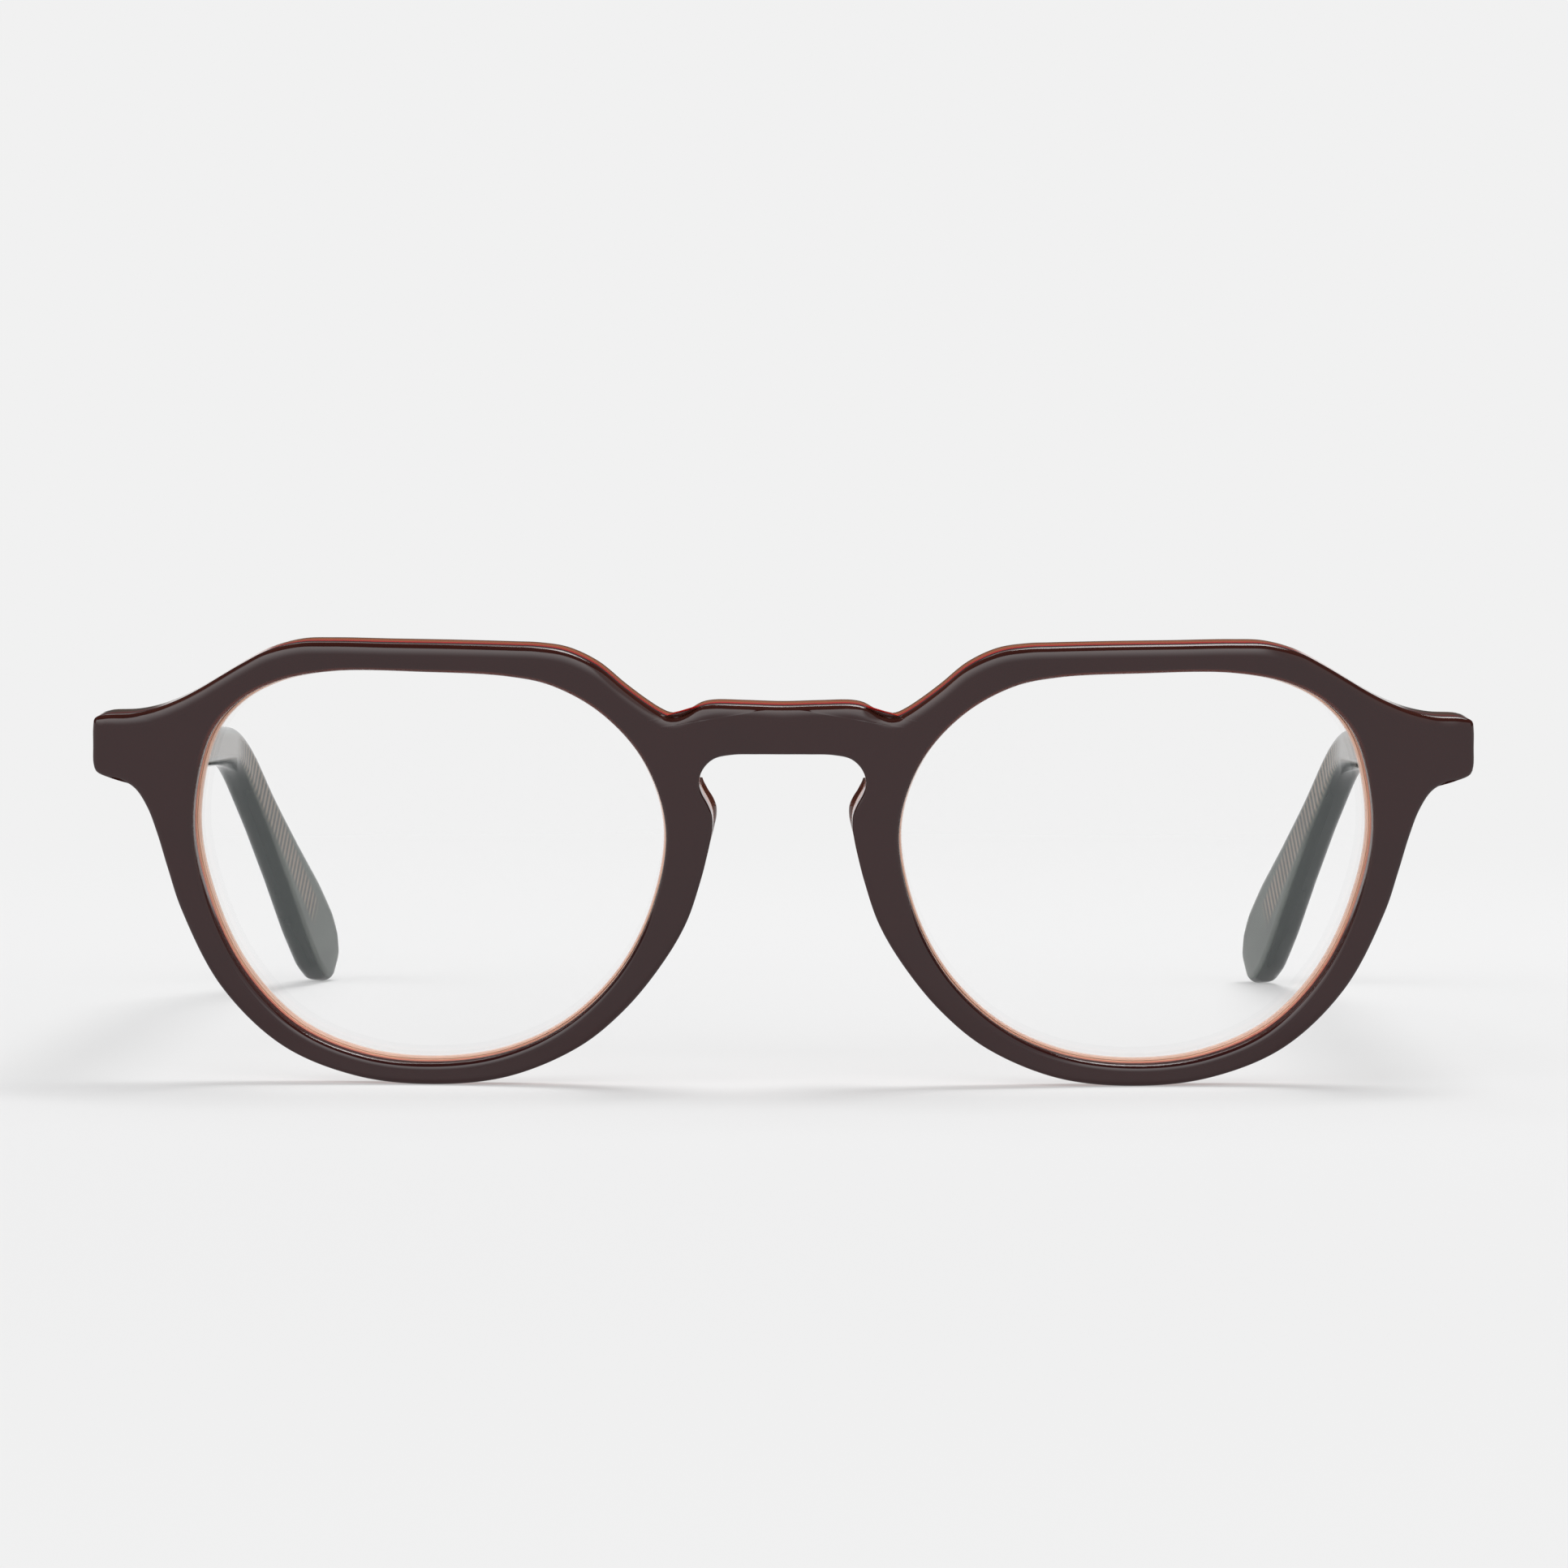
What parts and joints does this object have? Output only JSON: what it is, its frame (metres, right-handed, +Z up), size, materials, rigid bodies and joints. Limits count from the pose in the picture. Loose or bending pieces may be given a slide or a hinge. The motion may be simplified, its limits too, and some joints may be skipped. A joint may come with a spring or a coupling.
{
  "type": "eyeglasses",
  "caption": "Open pair of acetate eyeglasses: angular crown-shaped front with keyhole bridge, clear lenses, wire-core temples on knuckle hinges that fold.",
  "frame": {"origin": "centre of the footprint, on the surface that the lower rims and the temple tips stand on", "axes": "+X towards the wearer's left, +Y from the front to the temple tips, +Z up"},
  "size_m": [0.1378, 0.146, 0.0449],
  "materials": {
    "burgundy_acetate": "polished dark burgundy acetate",
    "red_acetate": "polished red-orange acetate",
    "peach_acetate": "polished translucent peach acetate",
    "clear_lens": "clear polished lens plastic",
    "green_acetate": "polished translucent bottle-green acetate",
    "core_wire": "engraved warm metal wire",
    "hinge_steel": "polished nickel silver"
  },
  "bodies": {
    "front": {"front_outer_sheet": "burgundy_acetate", "front_centre_sheet": "red_acetate", "front_back_sheet": "peach_acetate", "nose_pad_left": "peach_acetate", "nose_pad_right": "peach_acetate", "lens_left": "clear_lens", "lens_right": "clear_lens", "front_hinge_left": "hinge_steel", "front_hinge_right": "hinge_steel", "hinge_screw_left": "hinge_steel", "hinge_screw_right": "hinge_steel"},
    "temple_left": {"temple_left": "green_acetate", "core_wire_left": "core_wire", "temple_hinge_left": "hinge_steel"},
    "temple_right": {"temple_right": "green_acetate", "core_wire_right": "core_wire", "temple_hinge_right": "hinge_steel"}
  },
  "joints": [
    {"name": "fold_left", "type": "hinge", "parent": "front", "child": "temple_left", "pos_m": [0.06289, -0.06168, 0.03456], "axis": [0, -0.1412, 0.99], "range_deg": [0, 89]},
    {"name": "fold_right", "type": "hinge", "parent": "front", "child": "temple_right", "pos_m": [-0.06289, -0.06168, 0.03456], "axis": [0, 0.1412, -0.99], "range_deg": [0, 84]}
  ]
}
